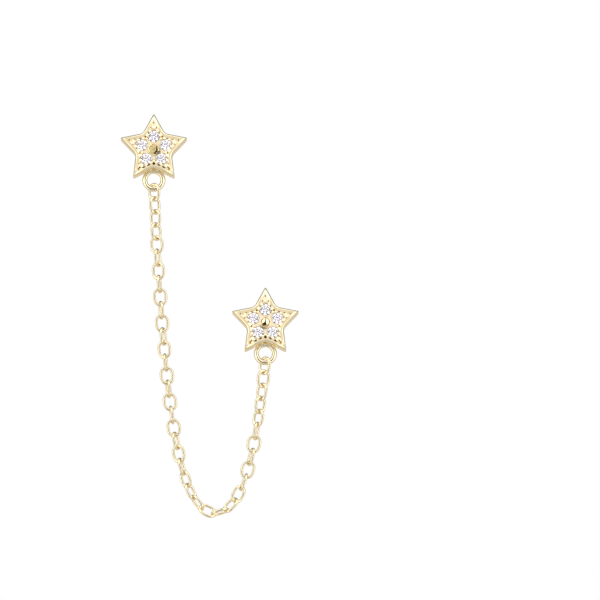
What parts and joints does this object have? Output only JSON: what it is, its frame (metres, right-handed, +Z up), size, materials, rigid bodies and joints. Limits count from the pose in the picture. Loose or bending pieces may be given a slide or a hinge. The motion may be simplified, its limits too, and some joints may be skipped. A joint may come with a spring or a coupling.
{
  "type": "ear chain earring",
  "caption": "Ear chain earring with two star studs, set with small round stones and joined by a fine oval-link chain that hangs in a loop.",
  "frame": {"origin": "centre of the upper star's back, where its post leaves it and where it sits on the ear", "axes": "+Z up, +Y from the star's front to its back, along the posts into the ear, +X from the upper star towards the lower star"},
  "size_m": [0.0157, 0.0116, 0.0359],
  "materials": {
    "gold": "polished pale yellow gold plate",
    "stone": "clear round-cut stone"
  },
  "bodies": {
    "root": {"upper_star": "gold", "lower_star": "gold", "upper_stone_1": "stone", "upper_stone_2": "stone", "upper_stone_3": "stone", "upper_stone_4": "stone", "upper_stone_5": "stone", "lower_stone_1": "stone", "lower_stone_2": "stone", "lower_stone_3": "stone", "lower_stone_4": "stone", "lower_stone_5": "stone", "chain": "gold"}
  },
  "joints": []
}
